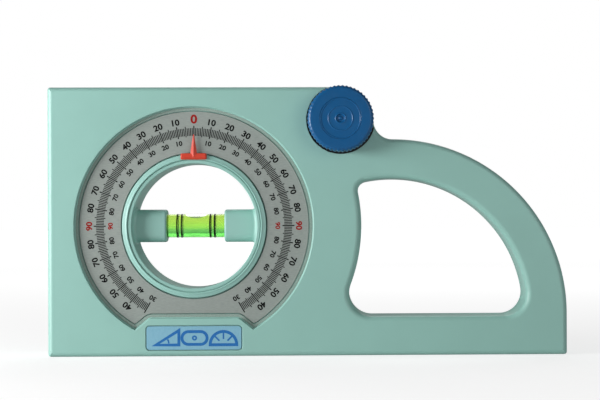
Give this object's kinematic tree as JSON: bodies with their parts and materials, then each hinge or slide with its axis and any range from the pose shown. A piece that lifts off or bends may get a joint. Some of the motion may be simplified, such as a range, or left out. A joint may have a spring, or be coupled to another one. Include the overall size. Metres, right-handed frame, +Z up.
{
  "type": "hand inclinometer",
  "caption": "Spirit level for measuring slopes: a mint slab body with a grip hole, a protractor dial, and a vial ring that a fluted knob turns through gears.",
  "frame": {"origin": "middle of the bottom measuring face, half way along the base and half way through the body's thickness", "axes": "+X along the measuring face towards the grip, -Y out of the dial, +Z up"},
  "size_m": [0.22, 0.0383, 0.1141],
  "materials": {
    "body_plastic": "satin moulded plastic, fine texture",
    "knob_plastic": "satin moulded plastic",
    "pointer_plastic": "moulded plastic",
    "dial_metal": "matt printed sheet",
    "badge_foil": "printed label",
    "clear_acrylic": "polished acrylic",
    "vial_liquid": "tinted liquid",
    "black_plastic": "matt",
    "gear_plastic": "moulded acetal",
    "bronze": "sintered",
    "plated_steel": "zinc plated",
    "spring_steel": "blackened"
  },
  "bodies": {
    "body": {"front_housing": "body_plastic", "rear_housing": "body_plastic", "dial_plate": "dial_metal", "badge_plate": "badge_foil", "housing_screw_1": "plated_steel", "housing_screw_2": "plated_steel", "housing_screw_3": "plated_steel", "housing_screw_4": "plated_steel", "housing_screw_5": "plated_steel", "housing_screw_6": "plated_steel", "housing_screw_7": "plated_steel", "housing_screw_8": "plated_steel", "spindle_bush_front": "bronze", "spindle_bush_rear": "bronze", "idler_pin": "plated_steel"},
    "vial_ring": {"rotor_ring": "body_plastic", "ring_gear": "gear_plastic", "ring_gear_screw_1": "plated_steel", "ring_gear_screw_2": "plated_steel", "ring_gear_screw_3": "plated_steel", "ring_gear_screw_4": "plated_steel", "pointer": "pointer_plastic", "vial_tube": "clear_acrylic", "vial_liquid": "vial_liquid", "vial_stopper": "clear_acrylic", "vial_line_1": "black_plastic", "vial_line_2": "black_plastic", "vial_line_3": "black_plastic", "vial_line_4": "black_plastic", "vial_plug_left": "black_plastic", "vial_plug_right": "black_plastic"},
    "knob": {"knob": "knob_plastic", "knob_cap": "knob_plastic", "knob_screw": "plated_steel", "drive_spindle": "plated_steel", "drive_pinion": "gear_plastic", "knob_wave_washer": "spring_steel", "spindle_circlip": "spring_steel"},
    "idler": {"idler_gear": "gear_plastic"}
  },
  "joints": [
    {"name": "ring_turn", "type": "hinge", "parent": "body", "child": "vial_ring", "pos_m": [-0.0483, 0, 0.0552], "axis": [0, -1, 0], "continuous": true},
    {"name": "knob_turn", "type": "hinge", "parent": "body", "child": "knob", "pos_m": [0.014, 0, 0.1001], "axis": [0, -1, 0], "continuous": true},
    {"name": "idler_turn", "type": "hinge", "parent": "body", "child": "idler", "pos_m": [-0.00392, 0, 0.09274], "axis": [0, -1, 0], "continuous": true}
  ],
  "couplings": [
    {"joint": "idler_turn", "follows": "ring_turn", "ratio": -4.4706},
    {"joint": "knob_turn", "follows": "ring_turn", "ratio": 5.4286}
  ]
}
